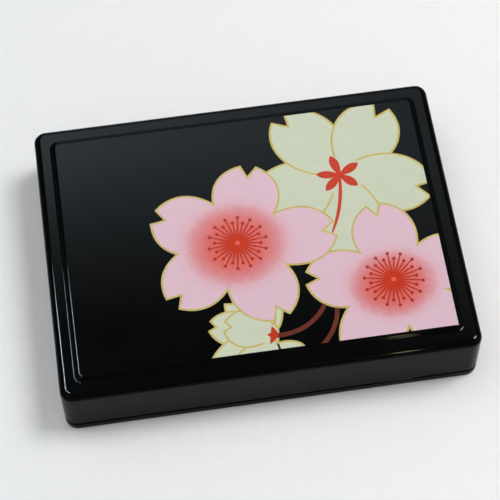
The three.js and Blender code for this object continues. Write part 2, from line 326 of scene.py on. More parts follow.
def limits(low: float, high: float, at_low: float = 0.0, at_high: float = 1.0) -> dict[str, float]:
    """The inputs of a Map Range node that runs from one value at low to another at high."""
    return {"From Min": low, "From Max": high, "To Min": at_low, "To Max": at_high}


def product(tree: Tree, factors: list[Socket]) -> Socket:
    """Multiplies outputs with each other.

    Args:
        tree: the node tree.
        factors: the outputs.

    Returns:
        Their product.
    """
    total = factors[0]
    for factor in factors[1:]:
        total = add_node(tree, "Math", {0: total, 1: factor}, operation="MULTIPLY").outputs[0]
    return total


def shares(tree: Tree, *rows: tuple[Socket | float, ...]) -> list[Socket]:
    """Turns outputs into shares that run from one value to another.

    Args:
        tree: the node tree.
        rows: for each share, the output that it depends on, where it starts and ends, and its values
            there, if they aren't 0 and 1.

    Returns:
        The shares.
    """
    return [
        add_node(tree, "MapRange", {"Value": source, **limits(*ends)}).outputs["Result"]
        for source, *ends in rows
    ]


def set_stops(ramp: bpy.types.Node, *stops: tuple[float, str]) -> Socket:
    """Sets the stops of a colour ramp.

    Args:
        ramp: the colour ramp node, which has two stops.
        stops: place and sRGB colour of each stop, in order, two or more.

    Returns:
        The ramp's colour.
    """
    band = ramp.color_ramp
    while len(band.elements) < len(stops):
        band.elements.new(1.0)
    for element, (place, colour) in zip(band.elements, stops):
        element.position = place
        element.color = linear(colour)
    return ramp.outputs["Color"]


def new_material(name: str) -> tuple[Material, Tree, bpy.types.Node]:
    """Makes a material with a Principled shader.

    Args:
        name: the finish's name.

    Returns:
        The material, its node tree and its shader.
    """
    material = bpy.data.materials.new(name)
    material.use_nodes = True
    tree = material.node_tree
    return material, tree, tree.nodes["Principled BSDF"]


def in_millimetres(tree: Tree, centre: tuple[float, float, float] = (0.0, 0.0, 0.0)) -> Socket:
    """The place on a piece in millimetres, for patterns.

    Args:
        tree: the node tree.
        centre: where the pattern's own origin lies on the box.

    Returns:
        The output that holds the place.
    """
    place = add_node(tree, "TexCoord").outputs["Object"]
    shift = tuple(-value for value in centre)
    mapping = add_node(tree, "Mapping", {"Vector": place, "Location": shift, "Scale": (1 / MM,) * 3})
    return mapping.outputs["Vector"]


def relief(
    tree: Tree, place: Socket, pitch: float, height: float, strength: float = 0.5,
    detail: float = 2.0, roughness: float = 0.5,
) -> tuple[Socket, Socket]:
    """A fine, uneven surface.

    Args:
        tree: the node tree.
        place: the place on the piece in millimetres.
        pitch: rough distance between the bumps.
        height: height of the bumps.
        strength: share of the bumps that shows.
        detail: number of finer patterns in the pattern.
        roughness: how much the finer ones count.

    Returns:
        The pattern, and the normal that it gives.
    """
    noise = {"Vector": place, "Scale": 1 / pitch, "Detail": detail, "Roughness": roughness}
    pattern = add_node(tree, "TexNoise", noise).outputs["Fac"]
    bump = add_node(tree, "Bump", {"Height": pattern, "Strength": strength, "Distance": height * MM})
    return pattern, bump.outputs["Normal"]


@dataclass(frozen=True)
class PolishedLacquer:
    """Black lacquer, sprayed on wood in several coats and polished.

    It gives a deep black with sharp, slightly wavy reflections, a breath of haze from handling, and a
    few specks of dust.
    """

    name: str = "polished_black_lacquer"
    body: str = "#070808"
    haze: str = "#0a0b0b"  # colour of the thin haze on it
    haze_pitch: float = 22.0  # rough distance between the clouds of the haze
    dust: str = "#5c5d60"
    speck_pitch: float = 7.0  # rough distance between the places where a speck may lie
    speck_size: float = 0.016  # radius of a speck, as a share of that distance
    clean_share: float = 0.87  # share of those places that stay free of dust
    roughness: float = 0.03
    index: float = 1.115  # index of refraction, lower than that of urushi so that the sides stay deep
    sheen: str = "#e2f1f4"  # colour of what it mirrors, a little cooler than the room
    wave_pitch: float = 9.0  # distance between the waves of the surface
    wave_height: float = 0.0015

    def make(self) -> Material:
        """Builds the material."""
        material, tree, shader = new_material(self.name)
        place = in_millimetres(tree)
        noise = {"Vector": place, "Scale": 1 / self.haze_pitch, "Detail": 4.0, "Roughness": 0.6}
        haze = add_node(tree, "TexNoise", noise).outputs["Fac"]
        tone = set_stops(add_node(tree, "ValToRGB", {"Fac": haze}), (0.35, self.body), (0.7, self.haze))

        # Dust: small round spots, of which one in eight is kept.
        cells = add_node(tree, "TexVoronoi", {"Vector": place, "Scale": 1 / self.speck_pitch}).outputs
        draw = add_node(tree, "SeparateColor", {"Color": cells["Color"]}).outputs["Red"]
        spot = add_node(tree, "Math", {0: cells["Distance"], 1: self.speck_size}, operation="LESS_THAN")
        kept = add_node(tree, "Math", {0: draw, 1: self.clean_share}, operation="GREATER_THAN")
        speck = product(tree, [spot.outputs[0], kept.outputs[0]])
        layers = {0: speck, FIRST_COLOUR: tone, SECOND_COLOUR: linear(self.dust)}
        colour = add_node(tree, "Mix", layers, data_type="RGBA").outputs[MIXED_COLOUR]

        ends = limits(0.3, 0.75, self.roughness, self.roughness * 1.8)
        rough = add_node(tree, "MapRange", {"Value": haze, **ends}).outputs["Result"]
        dusty = add_node(tree, "Math", {0: rough, 1: speck}, operation="MAXIMUM").outputs[0]
        waves = relief(tree, place, self.wave_pitch, self.wave_height, 1.0, 1.0, 0.4)[1]
        feed(shader, {"Base Color": colour, "Roughness": dusty, "Normal": waves, "IOR": self.index})
        feed(shader, {"Specular Tint": linear(self.sheen)})
        return material


@dataclass(frozen=True)
class SatinLacquer:
    """Black lacquer on the inside of the box, sprayed once and left unpolished.

    It gives a soft, dark grey-black sheen with the fine pebbled skin of a sprayed coat.
    """

    name: str = "satin_black_lacquer"
    body: str = "#121314"  # darker tone of the coat
    thin: str = "#1a1b1d"  # lighter tone, where the coat is thin
    cloud_pitch: float = 30.0  # rough distance between its thin places
    roughness: float = 0.4
    uneven: float = 0.15  # share by which the roughness goes up and down
    index: float = 1.25  # index of refraction, lower than a full coat's, as the spray lies thin
    grit: float = 0.9
    grit_height: float = 0.02

    def make(self) -> Material:
        """Builds the material."""
        material, tree, shader = new_material(self.name)
        place = in_millimetres(tree)
        noise = {"Vector": place, "Scale": 1 / self.cloud_pitch, "Detail": 5.0, "Roughness": 0.6}
        clouds = add_node(tree, "TexNoise", noise).outputs["Fac"]
        tone = set_stops(add_node(tree, "ValToRGB", {"Fac": clouds}), (0.3, self.body), (0.75, self.thin))
        ends = limits(0.0, 1.0, self.roughness * (1 - self.uneven), self.roughness * (1 + self.uneven))
        rough = add_node(tree, "MapRange", {"Value": clouds, **ends}).outputs["Result"]
        pebbles = relief(tree, place, self.grit, self.grit_height, 0.6)[1]
        feed(shader, {"Base Color": tone, "Roughness": rough, "Normal": pebbles, "IOR": self.index})
        return material


@dataclass(frozen=True)
class FlatPaint:
    """Coloured lacquer paint, laid on the panel through a screen.

    It gives an even, opaque colour with a faint cloudiness, the fine grain of its pigment and a
    quiet gloss.
    """

    name: str
    colour: str
    shade: str  # its colour where it lies thinner
    roughness: float = PAINT_GLOSS["Roughness"]
    grain: float = 0.5  # size of the pigment grain, drawn as coarse as the picture can show
    grain_height: float = 0.01
    cloud_pitch: float = 6.0  # rough distance between its clouds

    def make(self) -> Material:
        """Builds the material."""
        material, tree, shader = new_material(self.name)
        place = in_millimetres(tree)
        noise = {"Vector": place, "Scale": 1 / self.cloud_pitch, "Detail": 3.0, "Roughness": 0.55}
        clouds = add_node(tree, "TexNoise", noise).outputs["Fac"]
        grain, normal = relief(tree, place, self.grain, self.grain_height)
        ramp = add_node(tree, "ValToRGB", {"Fac": product(tree, [clouds, grain])})
        tone = set_stops(ramp, (0.12, self.shade), (0.34, self.colour))
        feed(shader, {**PAINT_GLOSS, "Base Color": tone, "Roughness": self.roughness, "Normal": normal})
        return material


@dataclass(frozen=True)
class BlushPaint:
    """Pink lacquer paint with a red blush blown on round the heart of a blossom.

    It gives a pale pink that turns to a warm red through a speckled, uneven edge, as an airbrush
    leaves it.
    """

    name: str
    centre: Point  # middle of the blush on the panel
    reach: Point  # how far the blush reaches along X and along Y
    heart: Point  # middle of the stamens, where the pale pistil shows
    height: float
    # Pitch, detail and depth of each noise by which the blush's edge wanders and breaks up.
    wander: tuple[tuple[float, float, float], ...] = ((9.0, 2.0, 2.6), (2.2, 2.0, 2.0), (0.5, 1.0, 3.4))
    fade: float = 1.4  # distance over which its colours run, as a share of its reach
    pistil: str = "#df6453"
    pistil_radius: float = 1.6  # radius of its field of colour

    def make(self) -> Material:
        """Builds the material."""
        material, tree, shader = new_material(self.name)
        place = in_millimetres(tree, (*self.centre, self.height))
        squeeze = (1.0, self.reach[0] / self.reach[1], 0.0)
        flat = add_node(tree, "VectorMath", {0: place, 1: squeeze}, operation="MULTIPLY").outputs[0]
        total = add_node(tree, "VectorMath", {0: flat}, operation="LENGTH").outputs["Value"]
        for pitch, detail, depth in self.wander:
            noise = {"Vector": place, "Scale": 1 / pitch, "Detail": detail}
            swing = {0: add_node(tree, "TexNoise", noise).outputs["Fac"], 1: depth, 2: total}
            total = add_node(tree, "Math", swing, operation="MULTIPLY_ADD").outputs[0]
        middle = sum(depth for _, _, depth in self.wander) / 2
        ends = limits(middle, middle + self.fade * self.reach[0])
        share = add_node(tree, "MapRange", {"Value": total, **ends}).outputs["Result"]
        tone = set_stops(
            add_node(tree, "ValToRGB", {"Fac": share}),
            (0.1, "#ca3f28"),
            (0.16, "#cf4c36"),
            (0.22, "#d45b4c"),
            (0.3, "#da675c"),
            (0.38, "#d9695f"),
            (0.46, "#d97574"),
            (0.54, "#d98384"),
            (0.62, "#d99296"),
            (0.69, "#dba4ac"),
            (0.77, "#ddb4be"),
            (0.9, "#dcbbc8"),
        )
        heart = (self.heart[0] - self.centre[0], self.heart[1] - self.centre[1], 0.0)
        off = add_node(tree, "VectorMath", {0: place, 1: heart}, operation="DISTANCE").outputs["Value"]
        within = add_node(tree, "Math", {0: off, 1: self.pistil_radius}, operation="LESS_THAN").outputs[0]
        layers = {0: within, FIRST_COLOUR: tone, SECOND_COLOUR: linear(self.pistil)}
        colour = add_node(tree, "Mix", layers, data_type="RGBA").outputs[MIXED_COLOUR]
        grain = relief(tree, place, FlatPaint.grain, FlatPaint.grain_height)[1]
        feed(shader, {**PAINT_GLOSS, "Base Color": colour, "Normal": grain})
        return material


@dataclass(frozen=True)
class ThreadPaint:
    """Red lacquer paint of the stamens, which runs together in the heart and gathers in the anthers.

    It gives a glowing orange red in the middle that deepens to a dark red at the ends.
    """

    name: str
    centre: Point  # middle of the stamens on the panel
    reach: float  # distance of the longest anthers
    height: float
    heart: str = "#c63412"
    tips: str = "#b02f20"
    grain: float = 0.7  # size of the unevenness between the two
    swing: float = 2.4  # distance by which it shifts the colours

    def make(self) -> Material:
        """Builds the material."""
        material, tree, shader = new_material(self.name)
        place = in_millimetres(tree, (*self.centre, self.height))
        distance = add_node(tree, "VectorMath", {0: place}, operation="LENGTH").outputs["Value"]
        noise = {"Vector": place, "Scale": 1 / self.grain, "Detail": 2.0}
        terms = {0: add_node(tree, "TexNoise", noise).outputs["Fac"], 1: self.swing, 2: distance}
        total = add_node(tree, "Math", terms, operation="MULTIPLY_ADD").outputs[0]
        ends = limits(self.swing / 2, self.swing / 2 + self.reach)
        share = add_node(tree, "MapRange", {"Value": total, **ends}).outputs["Result"]
        tone = set_stops(add_node(tree, "ValToRGB", {"Fac": share}), (0.28, self.heart), (0.55, self.tips))
        feed(shader, {**PAINT_GLOSS, "Base Color": tone})
        return material


@dataclass(frozen=True)
class WhiteBoard:
    """The matt white board of the table.

    It gives a plain pale ground, faintly mottled, with painted light on it: a darker, cooler white on
    the left that runs to a lighter, warmer white on the right, as the light falls across the table.
    """

    name: str = "matt_white_board"
    # Painted light: the left colour is the board in painted shade, the right colour the board in fuller
    # light.
    left: str = "#eceeef"
    right: str = "#faf9f7"
    light_falloff_span: Point = (-50.0, 220.0)  # where along X the painted shade on the left starts to turn into the lit right, and where it ends
    fibre: float = 5.0  # rough size of the mottle
    swing: float = 160.0  # distance by which the mottle shifts the colours

    def make(self) -> Material:
        """Builds the material."""
        material, tree, shader = new_material(self.name)
        place = in_millimetres(tree)
        noise = {"Vector": place, "Scale": 1 / self.fibre, "Detail": 5.0, "Roughness": 0.7}
        along = add_node(tree, "SeparateXYZ", {"Vector": place}).outputs["X"]
        terms = {0: add_node(tree, "TexNoise", noise).outputs["Fac"], 1: self.swing, 2: along}
        drift = add_node(tree, "Math", terms, operation="MULTIPLY_ADD").outputs[0]
        across = add_node(tree, "MapRange", {"Value": drift, **limits(*self.light_falloff_span)}).outputs["Result"]
        tone = set_stops(add_node(tree, "ValToRGB", {"Fac": across}), (0.0, self.left), (1.0, self.right))
        feed(shader, {"Base Color": tone, "Roughness": 0.9, "Specular IOR Level": 0.1})
        return material


# The boards of the box.


@dataclass
class Lid:
    """The slip-over lid, its boards hidden under one continuous coat of lacquer."""

    length: float = 170.0  # length just under the rounded top edge
    depth: float = 125.8  # depth at the same place
    foot: float = 4.7  # height of the skirt's foot above the table
    height: float = 24.6  # height from the foot to the flat rim
    corner_radius: float = 4.9
    edge_radius: float = 2.8
    foot_radius: float = 1.0  # radius of the skirt's outer foot
    flare: float = 0.4  # how far the skirt leans out at its foot
    wall: float = 4.0
    board: float = 4.0
    panel_rise: float = 1.2  # height of the raised panel above the rim
    panel_foot_inset: float = 6.3  # distance from the outer edge to the foot of the panel's slope
    panel_top_inset: float = 8.85  # distance from the outer edge to the flat of the panel
    panel_corner_radius: float = 1.3  # corner radius of the panel's flat
    shoulder_radius: float = 2.0  # radius of the slope's upper, round part
    inner_corner_radius: float = 1.6  # radius of the upright corners inside
    least_radius: float = 0.3  # smallest radius that these corners shrink to
    fillet: float = 0.8  # radius of the hollow between the walls and the top board
    # Height and inset of the rings round the skirt's inner foot.
    inner_foot: tuple[Point, ...] = ((0.5, 0.0), (0.15, -0.1), (0.0, -0.35))
    side_band: float = 0.6  # height of the straight bands beside the roundings of the sides
    flat_band: float = 0.2  # width of the level bands beside roundings and slopes
    ceiling_band: float = 0.4  # width of the level band beside the fillet
    corner_segments: int = 14

    @property
    def panel_height(self) -> float:
        """Height of the panel's flat above the table."""
        return self.foot + self.height + self.panel_rise

    @property
    def panel_half(self) -> Point:
        """Half length and half depth of the panel's flat."""
        return (self.length / 2 - self.panel_top_inset, self.depth / 2 - self.panel_top_inset)

    def outer_ring(self, up: float, inset: float = 0.0) -> Ring:
        """A ring round the leaning outside of the lid, moved inwards by inset, and up from the foot."""
        out = self.flare * (self.height - up) / self.height - inset
        return Ring(self.length / 2 + out, self.depth / 2 + out, self.corner_radius + out, self.foot + up)

    def panel_ring(self, inset: float, rise: float) -> Ring:
        """A ring on the slope of the raised panel.

        Args:
            inset: distance from the lid's outer edge.
            rise: height above the rim.

        Returns:
            The ring, with its corners on the same centre all the way up.
        """
        radius = self.panel_corner_radius + self.panel_top_inset - inset
        z = self.foot + self.height + rise
        return Ring(self.length / 2 - inset, self.depth / 2 - inset, radius, z)

    def inner_ring(self, up: float, inset: float = 0.0) -> Ring:
        """A ring on the inside of the lid, moved inwards by inset, and up from the foot."""
        return Ring(
            self.length / 2 - self.wall - inset,
            self.depth / 2 - self.wall - inset,
            max(self.inner_corner_radius - inset, self.least_radius),
            self.foot + up,
        )

    def slope(self, steps: int = 10) -> list[Ring]:
        """The slope of the panel: a hollow foot that runs into a round shoulder.

        Args:
            steps: number of steps in each of the two curves.

        Returns:
            Its rings, from the rim up to the flat.
        """
        width = self.panel_top_inset - self.panel_foot_inset
        both = (width**2 + self.panel_rise**2) / (2 * self.panel_rise)
        hollow = both - self.shoulder_radius
        steepest = 2 * math.atan2(self.panel_rise, width)
        turns = [steepest * step / steps for step in range(steps + 1)]
        rings = [
            self.panel_ring(self.panel_foot_inset + hollow * math.sin(turn), hollow * (1 - math.cos(turn)))
            for turn in turns
        ]
        rings += [
            self.panel_ring(
                self.panel_top_inset - self.shoulder_radius * math.sin(turn),
                self.panel_rise - self.shoulder_radius * (1 - math.cos(turn)),
            )
            for turn in reversed(turns[:-1])
        ]
        return rings

    def shell(self) -> Shape:
        """Builds the whole lid as one hollow shell, open underneath.

        Returns:
            The shell, whose faces inside have material number 1.
        """
        ceiling = self.height - self.board
        rings = [self.inner_ring(ceiling, self.fillet + self.ceiling_band)]
        rings += [
            self.inner_ring(ceiling - rise, self.fillet - inset)
            for inset, rise in quarter_round(self.fillet, 5)
        ]
        rings += [self.inner_ring(up, inset) for up, inset in self.inner_foot]
        rings += rounded_foot(self.outer_ring, self.foot_radius, 6)
        rings += [
            self.outer_ring(self.foot_radius + self.side_band),
            self.outer_ring(self.height - self.edge_radius - self.side_band),
        ]
        rings += rounded_top(self.outer_ring, self.height, self.edge_radius, 14)
        rings += [
            self.outer_ring(self.height, self.edge_radius + self.flat_band),
            self.panel_ring(self.panel_foot_inset - self.flat_band, 0.0),
        ]
        rings += self.slope()
        rings += [self.panel_ring(self.panel_top_inset + self.flat_band, self.panel_rise)]
        bm = loft(rings, self.corner_segments)

        slack = 0.2
        reach_x, reach_y = self.length / 2 - self.wall + slack, self.depth / 2 - self.wall + slack
        for face in bm.faces:
            middle = face.calc_center_median()
            within = abs(middle.x) < reach_x and abs(middle.y) < reach_y
            if within and middle.z < self.foot + ceiling + slack / 2:
                face.material_index = 1
        return bm

    def build(self, outside: Material, inside: Material) -> Piece:
        """Builds and dresses the lid.

        Args:
            outside: the polished lacquer.
            inside: the satin lacquer.

        Returns:
            The lid as a piece.
        """
        nodes = ["lid_top_board", "lid_front_wall", "lid_back_wall", "lid_left_wall", "lid_right_wall"]
        piece = piece_from(self.shell(), "lid_shell", Body.LID, nodes, [outside, inside])
        keep_flats_flat(piece)
        return piece


@dataclass
class Base:
    """The base: a bottom board that shows as a plinth, and the walls that the lid slips over."""

    length: float = 170.8  # length of the bottom board
    depth: float = 126.6  # depth of the bottom board
    plinth_height: float = 4.4  # thickness of the bottom board
    corner_radius: float = 5.3
    top_radius: float = 1.0
    foot_radius: float = 0.8
    flat_band: float = 0.3  # width of the level bands beside these edges
    wall_length: float = 161.0
    wall_depth: float = 116.8
    wall_top: float = 24.3  # height of the walls' rim above the table
    wall: float = 3.0
    wall_corner_radius: float = 1.5
    least_radius: float = 0.5  # smallest radius that these corners shrink to
    rim_radius: float = 0.8
    sunk: float = 0.02  # how far the walls reach down into the bottom board
    corner_segments: int = 12

    def plinth_ring(self, z: float, inset: float = 0.0) -> Ring:
        """A ring round the bottom board."""
        return Ring(self.length / 2 - inset, self.depth / 2 - inset, self.corner_radius - inset, z)

    def wall_ring(self, z: float, inset: float = 0.0) -> Ring:
        """A ring on the walls, moved inwards by inset from their outer side."""
        radius = max(self.wall_corner_radius - inset, self.least_radius)
        return Ring(self.wall_length / 2 - inset, self.wall_depth / 2 - inset, radius, z)

    def inner_wall_ring(self, z: float, inset: float) -> Ring:
        """A ring on the walls, moved outwards by inset from their inner side."""
        return self.wall_ring(z, self.wall - inset)

    def plinth(self) -> Shape:
        """Builds the bottom board, with rounded edges.

        Returns:
            The board, whose upper side has material number 1.
        """
        rings = [self.plinth_ring(0.0, self.foot_radius + self.flat_band)]
        rings += rounded_foot(self.plinth_ring, self.foot_radius, 5)
        rings += rounded_top(self.plinth_ring, self.plinth_height, self.top_radius, 6)
        rings += [self.plinth_ring(self.plinth_height, self.top_radius + self.flat_band)]
        bm = loft(rings, self.corner_segments)
        slack, margin = 0.01, 1.0
        for face in bm.faces:
            middle = face.calc_center_median()
            if middle.z > self.plinth_height - slack and abs(middle.x) < self.wall_length / 2 - margin:
                face.material_index = 1
        return bm

    def walls(self) -> Shape:
        """The four walls as one band with a rounded rim, standing on the bottom board."""
        rim = (self.wall_top, self.rim_radius, 5)
        low = self.plinth_height - self.sunk
        rings = [self.wall_ring(low), *rounded_top(self.wall_ring, *rim)]
        rings += [*reversed(rounded_top(self.inner_wall_ring, *rim)), self.wall_ring(low, self.wall)]
        return loft(rings, self.corner_segments, closed=True)

    def build(self, outside: Material, inside: Material) -> list[Piece]:
        """Builds and dresses the base.

        Args:
            outside: the polished lacquer.
            inside: the satin lacquer.

        Returns:
            The bottom board and the walls as pieces.
        """
        coats = [outside, inside]
        plinth = piece_from(self.plinth(), "base_board", Body.BASE, ["bottom_board"], coats)
        sides = ["base_front_wall", "base_back_wall", "base_left_wall", "base_right_wall"]
        walls = piece_from(self.walls(), "base_walls", Body.BASE, sides, [inside])
        for piece in (plinth, walls):
            keep_flats_flat(piece)
        return [plinth, walls]


# The picture on the panel.


def raised(bm: Shape, centre: Point, turn: float, grow: float = 0.0) -> Shape:
    """Turns a flat outline into a plate, 1 mm thick, in its place on the panel.

    Args:
        bm: one flat face.
        centre: where the outline's own origin lies on the panel.
        turn: angle that it is turned by, in degrees.
        grow: distance by which its outline is moved outwards, or inwards where it is negative.

    Returns:
        The plate, from height 0 to 1.
    """
    bmesh.ops.recalc_face_normals(bm, faces=bm.faces)
    for face in list(bm.faces):
        if face.normal.z < 0:
            face.normal_flip()
    if grow:
        band = bmesh.ops.inset_region(
            bm, faces=list(bm.faces), thickness=-grow, use_even_offset=True, use_boundary=True
        )["faces"]
        bmesh.ops.delete(bm, geom=band, context="FACES")
    risen = bmesh.ops.extrude_face_region(bm, geom=list(bm.faces), use_keep_orig=True)["geom"]
    bmesh.ops.translate(bm, verts=[v for v in risen if isinstance(v, bmesh.types.BMVert)], vec=(0, 0, 1))
    bmesh.ops.recalc_face_normals(bm, faces=bm.faces)
    place = Matrix.Translation((*centre, 0.0)) @ Matrix.Rotation(math.radians(turn), 4, "Z")
    bmesh.ops.transform(bm, matrix=place, verts=bm.verts)
    return bm


def disc(centre: Point, radius: float, sides: int = 40) -> Shape:
    """A round plate, 1 mm thick."""
    bm = bmesh.new()
    bmesh.ops.create_circle(bm, cap_ends=True, segments=sides, radius=radius)
    return raised(bm, centre, 0.0)


def two_sided(side: list[Vector], notch: float | None = None) -> Shape:
    """A flat face between a curve and its mirror image, with its middle line along X.

    Args:
        side: points of the curve, from the middle line at the foot outwards.
        notch: where the outline comes back to the middle line, if the curve doesn't end there.

    Returns:
        The face.
    """
    bm = bmesh.new()
    end = [] if notch is None else [bm.verts.new((notch, 0.0, 0.0))]
    chain = [bm.verts.new((point.x, point.y, 0.0)) for point in side] + end
    edges = [bm.edges.new(pair) for pair in zip(chain, chain[1:])]
    bmesh.ops.mirror(bm, geom=chain + edges, axis="Y", merge_dist=TOUCH)
    bmesh.ops.remove_doubles(bm, verts=bm.verts, dist=TOUCH)
    bmesh.ops.contextual_create(bm, geom=bm.edges)
    return bm


@dataclass(frozen=True)
class PetalForm:
    """What the notched petals of one flower have in common."""

    tip_spread: float  # distance of each tip from the petal's middle line
    notch_depth: float  # depth of the notch between the tips
    foot_fullness: float  # how quickly the petal widens at its foot
    shoulder_fullness: float  # how full it is towards its tips
    foot_pull: float = 0.21  # how far along the petal its foot shapes it, as a share of its reach
    shoulder_pull: float = 0.8  # where along the petal its tips start to shape it, also as a share
    points: int = 28


@dataclass(frozen=True)
class Petal:
    """One notched cherry petal, seen from its foot in the heart of the blossom."""

    turn: float  # the way that it points, in degrees from the box's right
    reach: float  # distance from its foot to its two tips
    half_width: float
    foot: Point  # where its foot lies, from the middle of the blossom

    def plate(self, form: PetalForm, centre: Point, grow: float) -> Shape:
        """The petal as an upright-sided plate, 1 mm thick.

        Args:
            form: what it shares with the flower's other petals.
            centre: the middle of the blossom on the panel.
            grow: distance by which its outline is moved outwards, or inwards where it is negative.

        Returns:
            The plate.
        """
        side = interpolate_bezier(
            Vector((0.0, 0.0)),
            Vector((form.foot_pull * self.reach, form.foot_fullness * self.half_width)),
            Vector((form.shoulder_pull * self.reach, form.shoulder_fullness * self.half_width)),
            Vector((self.reach, form.tip_spread)),
            form.points,
        )
        outline = two_sided(side, self.reach - form.notch_depth)
        return raised(outline, (centre[0] + self.foot[0], centre[1] + self.foot[1]), self.turn, grow)


@dataclass(frozen=True)
class Leaf:
    """A small pointed sepal."""

    turn: float  # the way that it points, in degrees
    length: float
    half_width: float
    # Pull on its edge near the foot, as shares of its length and its half width.
    near_handle: Point = (0.25, 0.95)
    far_handle: Point = (0.72, 1.6)  # pull on its edge near the tip
    points: int = 16

    def plate(self, centre: Point) -> Shape:
        """The sepal as a plate, 1 mm thick, from a centre outwards."""
        near, far = (
            Vector((handle[0] * self.length, handle[1] * self.half_width))
            for handle in (self.near_handle, self.far_handle)
        )
        side = interpolate_bezier(Vector((0.0, 0.0)), near, far, Vector((self.length, 0.0)), self.points)
        return raised(two_sided(side), centre, self.turn)


@dataclass(frozen=True)
class Stroke:
    """A brush stroke along a bowed line, whose width changes evenly."""

    start: Point
    lean: Point  # the point that its bow leans towards
    end: Point
    widths: tuple[float, float, float]  # its width at the start, in the middle and at the end

    def plate(self, steps: int = 24) -> Shape:
        """The stroke as a plate, 1 mm thick.

        Args:
            steps: number of steps along it.

        Returns:
            The plate.
        """
        start, lean, end = (Vector(point) for point in (self.start, self.lean, self.end))
        line = interpolate_bezier(start, start.lerp(lean, 2 / 3), end.lerp(lean, 2 / 3), end, steps + 1)
        first, middle, last = self.widths
        bm = bmesh.new()
        bmesh.ops.create_grid(bm, x_segments=steps, y_segments=1, size=0.5)
        for vert in bm.verts:
            share = vert.co.x + 0.5
            step = min(round(share * steps), steps)
            along = (line[min(step + 1, steps)] - line[max(step - 1, 0)]).normalized()
            across = Vector((-along.y, along.x)) * vert.co.y
            width = first * (1 - share) * (1 - 2 * share) + last * share * (2 * share - 1)
            width += 4 * middle * share * (1 - share)
            vert.co.xy = line[step] + across * width
        return raised(bm, (0.0, 0.0), 0.0)


@dataclass(frozen=True)
class Paint:
    """A paint of the picture."""

    slot: str
    material: Material


@dataclass
class Picture:
    """What all layers of the picture share: where they may lie, and how they are finished."""

    panel_half: Point  # half length and half depth of the panel's flat
    panel_height: float  # its height above the table
    line: float = 0.85
    step: float = 0.03  # thickness of one layer of paint
    sunk: float = 0.02  # how far a plate reaches down into the lacquer

    def clipped(self, bm: Shape) -> Shape:
        """Cuts a plate off at the edges of the panel.

        Args:
            bm: the plate.

        Returns:
            What lies on the panel. The plate is used up.
        """
        panel = bmesh.new()
        bmesh.ops.create_cube(panel, size=2.0)
        bmesh.ops.scale(panel, verts=panel.verts, vec=(*self.panel_half, 3.0))
        return combine(bm, [panel], Join.INTERSECT)

    def lay(self, bm: Shape, level: int, name: str, node: str, paint: Paint) -> Piece:
        """Lays a plate on the panel as a finished layer.

        Args:
            bm: the plate, from height 0 to 1.
            level: how many layers of paint its top lies above the panel.
            name: name of the piece.
            node: the solid that it stands for.
            paint: its paint.

        Returns:
            The layer as a piece.
        """
        bm = self.clipped(bm)
        top = level * self.step + self.sunk
        bmesh.ops.scale(bm, verts=bm.verts, vec=(1.0, 1.0, top))
        bmesh.ops.translate(bm, verts=bm.verts, vec=(0.0, 0.0, self.panel_height - self.sunk))
        bmesh.ops.recalc_face_normals(bm, faces=bm.faces)
        piece = piece_from(bm, name, Body.LID, [node], [paint.material])
        for polygon in piece.data.polygons:
            polygon.use_smooth = False
        return piece


@dataclass
class Flower:
    """What an open blossom and a bud share."""

    centre: Point  # where its petals meet on the panel
    form: PetalForm

    def plates(self, petals: list[Petal], grow: float) -> list[Shape]:
        """Petals as plates, with their outlines moved outwards by grow."""
        return [petal.plate(self.form, self.centre, grow) for petal in petals]

    def painted(self, petal: Petal, covers: list[Petal], half: float) -> Shape:
        """The coloured field of a petal, inside its gold line.

        Args:
            petal: the petal.
            covers: the petals that lie over it.
            half: half the width of the gold line.

        Returns:
            The field as a plate.
        """
        inside = petal.plate(self.form, self.centre, -half)
        return combine(inside, self.plates(covers, half), Join.DIFFERENCE) if covers else inside


@dataclass
class OpenBlossom(Flower):
    """A cherry blossom with five notched petals, each drawn round with a gold line."""

    name: str
    petals: list[Petal]
    level: int  # number of paint layers up to the top of its gold
    hub: tuple[Point, float]  # centre and radius of the round field in its heart, where no gold line shows
    # True where each petal's line is drawn across its neighbour, False where the petals run into each
    # other.
    lapped: bool

    def build(self, picture: Picture, gold: Paint, paint: Paint) -> list[Piece]:
        """Builds the gold ground and the coloured petals.

        Args:
            picture: the picture that they belong to.
            gold: the gold paint.
            paint: the petals' paint.

        Returns:
            The two layers as pieces.
        """
        half = picture.line / 2
        name = self.name
        ground = joined(self.plates(self.petals, half))
        fields = [
            self.painted(petal, [self.petals[i - 1]] if self.lapped else [], half)
            for i, petal in enumerate(self.petals)
        ]
        coloured = joined([*fields, disc(*self.hub)])
        return [
            picture.lay(ground, self.level, f"{name}_gold_line", f"{name}_outline", gold),
            picture.lay(coloured, self.level + 1, f"{name}_painted_petals", f"{name}_petals", paint),
        ]


